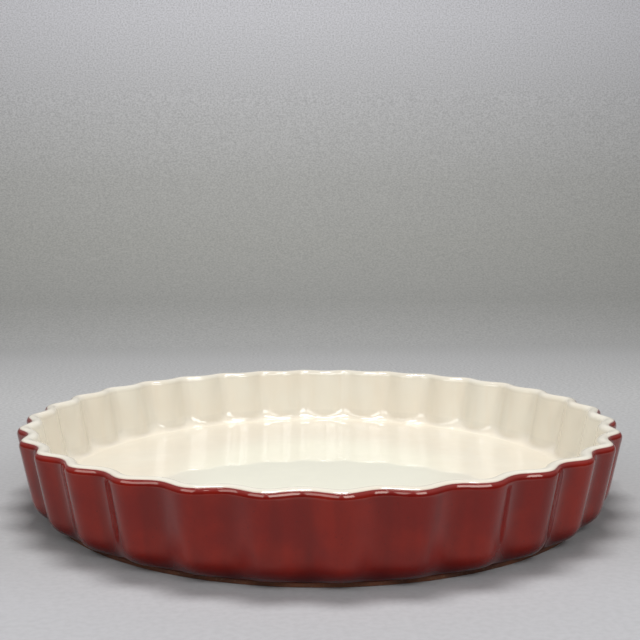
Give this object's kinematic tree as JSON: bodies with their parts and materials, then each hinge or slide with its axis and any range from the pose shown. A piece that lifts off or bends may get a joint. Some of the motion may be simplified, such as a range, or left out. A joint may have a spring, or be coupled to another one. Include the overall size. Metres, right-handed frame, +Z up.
{
  "type": "fluted quiche dish",
  "caption": "Round fluted stoneware quiche dish with a low leaning wall, cream glaze inside and over the rim, brick red glaze outside and a bare clay foot ring.",
  "frame": {"origin": "on the table under the middle of the dish, at the foot ring's underside", "axes": "+Z up along the dish's axis, +X through the crest of one flute"},
  "size_m": [0.28, 0.28, 0.038],
  "materials": {
    "bare_stoneware": "bare fired clay",
    "red_glaze": "gloss",
    "cream_glaze": "gloss",
    "clear_base_glaze": "thin clear gloss over clay"
  },
  "bodies": {
    "root": {"stoneware_body": "bare_stoneware", "red_outer_glaze": "red_glaze", "cream_inner_glaze": "cream_glaze", "base_recess_glaze": "clear_base_glaze"}
  },
  "joints": []
}
